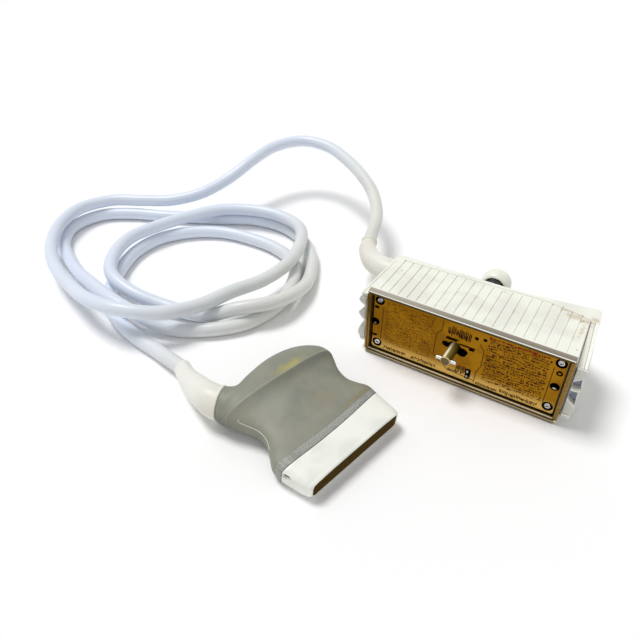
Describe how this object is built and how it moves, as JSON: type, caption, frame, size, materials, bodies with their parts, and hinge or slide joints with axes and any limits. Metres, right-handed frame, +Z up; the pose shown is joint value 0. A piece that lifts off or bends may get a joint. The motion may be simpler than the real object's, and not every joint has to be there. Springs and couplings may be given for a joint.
{
  "type": "ultrasound transducer probe",
  "caption": "Linear-array ultrasound probe: flat white nose with a brown lens, waisted grey handle, long white cable and a boxy ribbed connector with a turning lock.",
  "frame": {"origin": "middle of the connector's lower face, on the surface that the part lies on", "axes": "+X along the connector, -Y the way its contact face looks, +Z up"},
  "size_m": [0.4063, 0.2916, 0.0529],
  "materials": {
    "housing_white": "satin moulded housing plastic",
    "knob_white": "smooth moulded knob",
    "gold_shell": "gold-coloured plated shell",
    "contact_board": "gold contact field on a laminate board",
    "black_plastic": "black moulded plastic",
    "chassis_aluminium": "milled",
    "shaft_brass": "turned, dulled",
    "bright_steel": "bright turned steel",
    "relief_elastomer": "smooth white elastomer",
    "cable_jacket": "smooth extruded jacket",
    "wire_bundle": "inner conductors",
    "grip_grey": "fine matte grip",
    "nose_white": "smooth moulded nose",
    "lens_silicone": "brown silicone lens",
    "piezo_ceramic": "sintered ceramic",
    "backing_epoxy": "cast epoxy",
    "polyimide": "film",
    "circuit_laminate": "circuit board"
  },
  "bodies": {
    "probe": {"housing_upper": "housing_white", "housing_lower": "housing_white", "side_grip_left": "housing_white", "side_grip_right": "housing_white", "back_cover": "housing_white", "contact_shell": "gold_shell", "contact_board": "contact_board", "board_gasket": "black_plastic", "board_frame": "black_plastic", "board_socket_left": "black_plastic", "board_socket_right": "black_plastic", "rear_bush": "black_plastic", "chassis_plate": "chassis_aluminium", "array_frame": "chassis_aluminium", "front_bush": "shaft_brass", "connector_strain_relief": "relief_elastomer", "probe_strain_relief": "relief_elastomer", "cable": "cable_jacket", "connector_wire_bundle": "wire_bundle", "head_wire_bundle": "wire_bundle", "handle_upper": "grip_grey", "handle_lower": "grip_grey", "nose_shell": "nose_white", "acoustic_lens": "lens_silicone", "matching_layer": "piezo_ceramic", "piezo_array": "piezo_ceramic", "backing_block": "backing_epoxy", "flex_circuit_upper": "polyimide", "flex_circuit_lower": "polyimide", "head_board": "circuit_laminate", "termination_board_left": "circuit_laminate", "termination_board_right": "circuit_laminate", "board_screw_1": "bright_steel", "board_screw_2": "bright_steel", "board_screw_3": "bright_steel", "board_screw_4": "bright_steel", "guide_bush_left": "bright_steel", "standoff_left_lower": "bright_steel", "standoff_left_upper": "bright_steel", "guide_bush_right": "bright_steel", "standoff_right_lower": "bright_steel", "standoff_right_upper": "bright_steel"},
    "lock": {"lock_shaft": "shaft_brass", "cross_pin": "bright_steel", "retaining_ring": "bright_steel", "lock_collar": "black_plastic", "lock_knob": "knob_white"}
  },
  "joints": [
    {"name": "lock_turn", "type": "hinge", "parent": "probe", "child": "lock", "pos_m": [-0.0043, 0, 0.0255], "axis": [0, 1, 0], "range_deg": [0, 90]}
  ]
}
